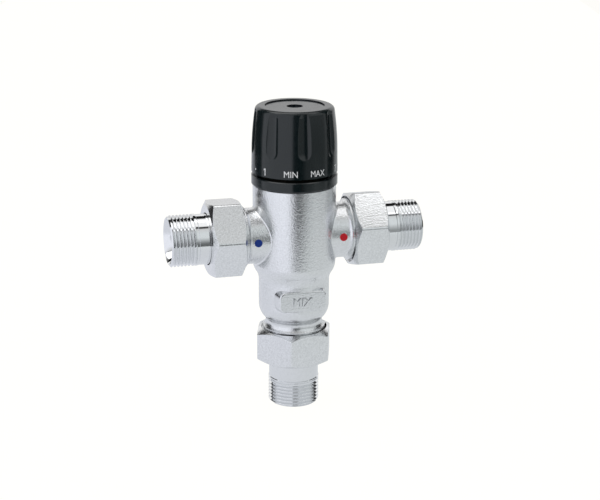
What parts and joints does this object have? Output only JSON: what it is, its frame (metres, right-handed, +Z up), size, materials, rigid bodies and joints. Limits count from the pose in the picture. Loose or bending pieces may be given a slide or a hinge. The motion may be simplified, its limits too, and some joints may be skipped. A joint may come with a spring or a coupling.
{
  "type": "thermostatic mixing valve",
  "caption": "Three-way thermostatic mixing valve: cast chromed body, union tailpieces on both inlets and the outlet, black temperature knob on top, check valves and strainers in the inlets.",
  "frame": {"origin": "centre of the outlet tailpiece's end face, on the axis of the body", "axes": "+Z up the body's axis to the knob, +X towards the hot inlet, -X towards the cold inlet, -Y the front with the dots and the flat pad"},
  "size_m": [0.1324, 0.0442, 0.159],
  "materials": {
    "satin_chrome": "satin chromed brass casting",
    "bright_chrome": "turned and chromed brass",
    "brass": "turned brass",
    "copper_brass": "drawn copper cup",
    "stainless": "stainless steel",
    "black_plastic": "black moulded plastic",
    "white_polymer": "moulded acetal",
    "seal_rubber": "black seal rubber",
    "fibre_gasket": "grey-green fibre gasket",
    "blue_plastic": "blue plastic dot",
    "red_plastic": "red plastic dot"
  },
  "bodies": {
    "body": {"valve_body": "satin_chrome", "bonnet": "brass", "bonnet_seal": "seal_rubber", "indicator_ring": "black_plastic", "spool_seal": "seal_rubber", "return_spring": "stainless", "cold_union_nut": "satin_chrome", "hot_union_nut": "satin_chrome", "outlet_union_nut": "satin_chrome", "cold_tailpiece": "bright_chrome", "hot_tailpiece": "bright_chrome", "outlet_tailpiece": "bright_chrome", "cold_gasket": "fibre_gasket", "hot_gasket": "fibre_gasket", "outlet_gasket": "fibre_gasket", "cold_strainer": "stainless", "hot_strainer": "stainless", "cold_check_housing": "white_polymer", "hot_check_housing": "white_polymer", "cold_check_guide": "white_polymer", "hot_check_guide": "white_polymer", "cold_check_spring": "stainless", "hot_check_spring": "stainless", "cold_dot": "blue_plastic", "hot_dot": "red_plastic"},
    "knob_group": {"knob": "black_plastic", "knob_cap": "black_plastic", "knob_screw": "stainless", "spindle": "brass", "spindle_seal_lower": "seal_rubber", "spindle_seal_upper": "seal_rubber", "spindle_circlip": "stainless"},
    "setting_group": {"setting_nut": "brass", "overtravel_spring": "stainless", "thrust_cup": "brass", "cup_retaining_ring": "stainless", "piston_rod": "stainless"},
    "mixing_group": {"wax_element": "copper_brass", "mixing_spool": "white_polymer"},
    "cold_check": {"cold_check_poppet": "white_polymer", "cold_check_seal": "seal_rubber"},
    "hot_check": {"hot_check_poppet": "white_polymer", "hot_check_seal": "seal_rubber"}
  },
  "joints": [
    {"name": "knob_turn", "type": "hinge", "parent": "body", "child": "knob_group", "pos_m": [0, 0, 0.1387], "axis": [0, 0, 1], "range_deg": [0, 340]},
    {"name": "setting_travel", "type": "slide", "parent": "body", "child": "setting_group", "axis": [0, 0, 1], "range_m": [0, 0.00284], "deforming": ["return_spring"]},
    {"name": "mixing_stroke", "type": "slide", "parent": "setting_group", "child": "mixing_group", "axis": [0, 0, 1], "range_m": [-0.001, 0], "stiffness_N_per_m": 4000, "springref_m": 0.002, "deforming": ["return_spring"]},
    {"name": "cold_check_opening", "type": "slide", "parent": "body", "child": "cold_check", "axis": [1, 0, 0], "range_m": [0, 0.003], "stiffness_N_per_m": 100, "springref_m": -0.002, "deforming": ["cold_check_spring"]},
    {"name": "hot_check_opening", "type": "slide", "parent": "body", "child": "hot_check", "axis": [-1, 0, 0], "range_m": [0, 0.003], "stiffness_N_per_m": 100, "springref_m": -0.002, "deforming": ["hot_check_spring"]}
  ],
  "couplings": [
    {"joint": "setting_travel", "follows": "knob_turn", "m_per_rad": 0.000477}
  ]
}
